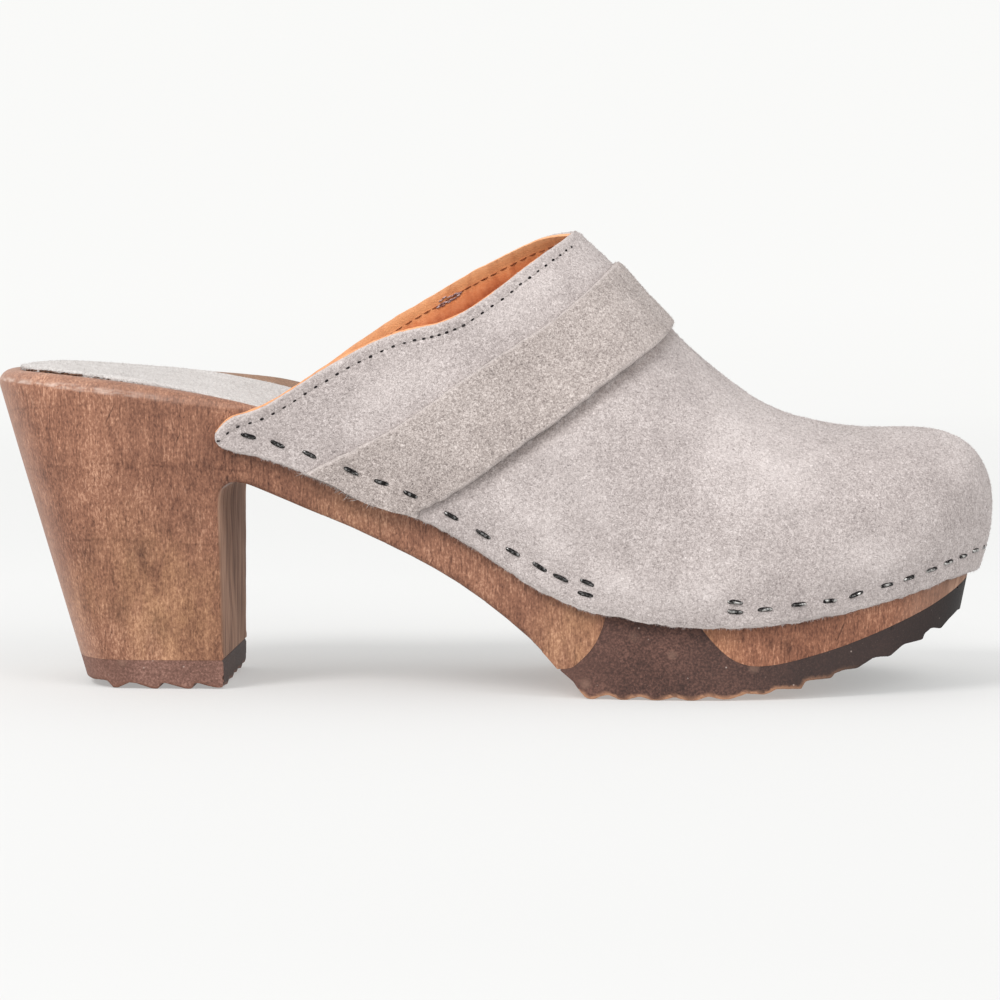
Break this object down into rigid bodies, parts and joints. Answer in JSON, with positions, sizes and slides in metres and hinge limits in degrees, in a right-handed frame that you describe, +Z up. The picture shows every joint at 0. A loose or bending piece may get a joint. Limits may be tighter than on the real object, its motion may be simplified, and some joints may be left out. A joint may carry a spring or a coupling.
{
  "type": "platform clog",
  "caption": "Heeled platform clog: suede upper with instep strap stapled to a wooden sole in two parts joined by a rubber outsole, open at the heel.",
  "frame": {"origin": "centre of the bounding box's underside: on the floor plane, under the middle of the shoe", "axes": "+X from the heel to the toe, +Y to the inner (medial) side of this right shoe, +Z up"},
  "size_m": [0.24, 0.0918, 0.109],
  "materials": {
    "wood": "brown stained alder, satin",
    "outsole_rubber": "dark brown, matt, fine light specks",
    "heel_rubber": "brown, matt",
    "insole_suede": "light grey suede over thin padding",
    "suede": "taupe grey suede",
    "lining": "tan leather lining",
    "staple_steel": "blackened steel wire",
    "thread": "grey sewing thread"
  },
  "bodies": {
    "root": {"sole_wood_rear": "wood", "sole_wood_front": "wood", "outsole": "outsole_rubber", "heel_lift": "heel_rubber", "insole": "insole_suede", "upper": "suede", "strap": "suede"}
  },
  "joints": []
}
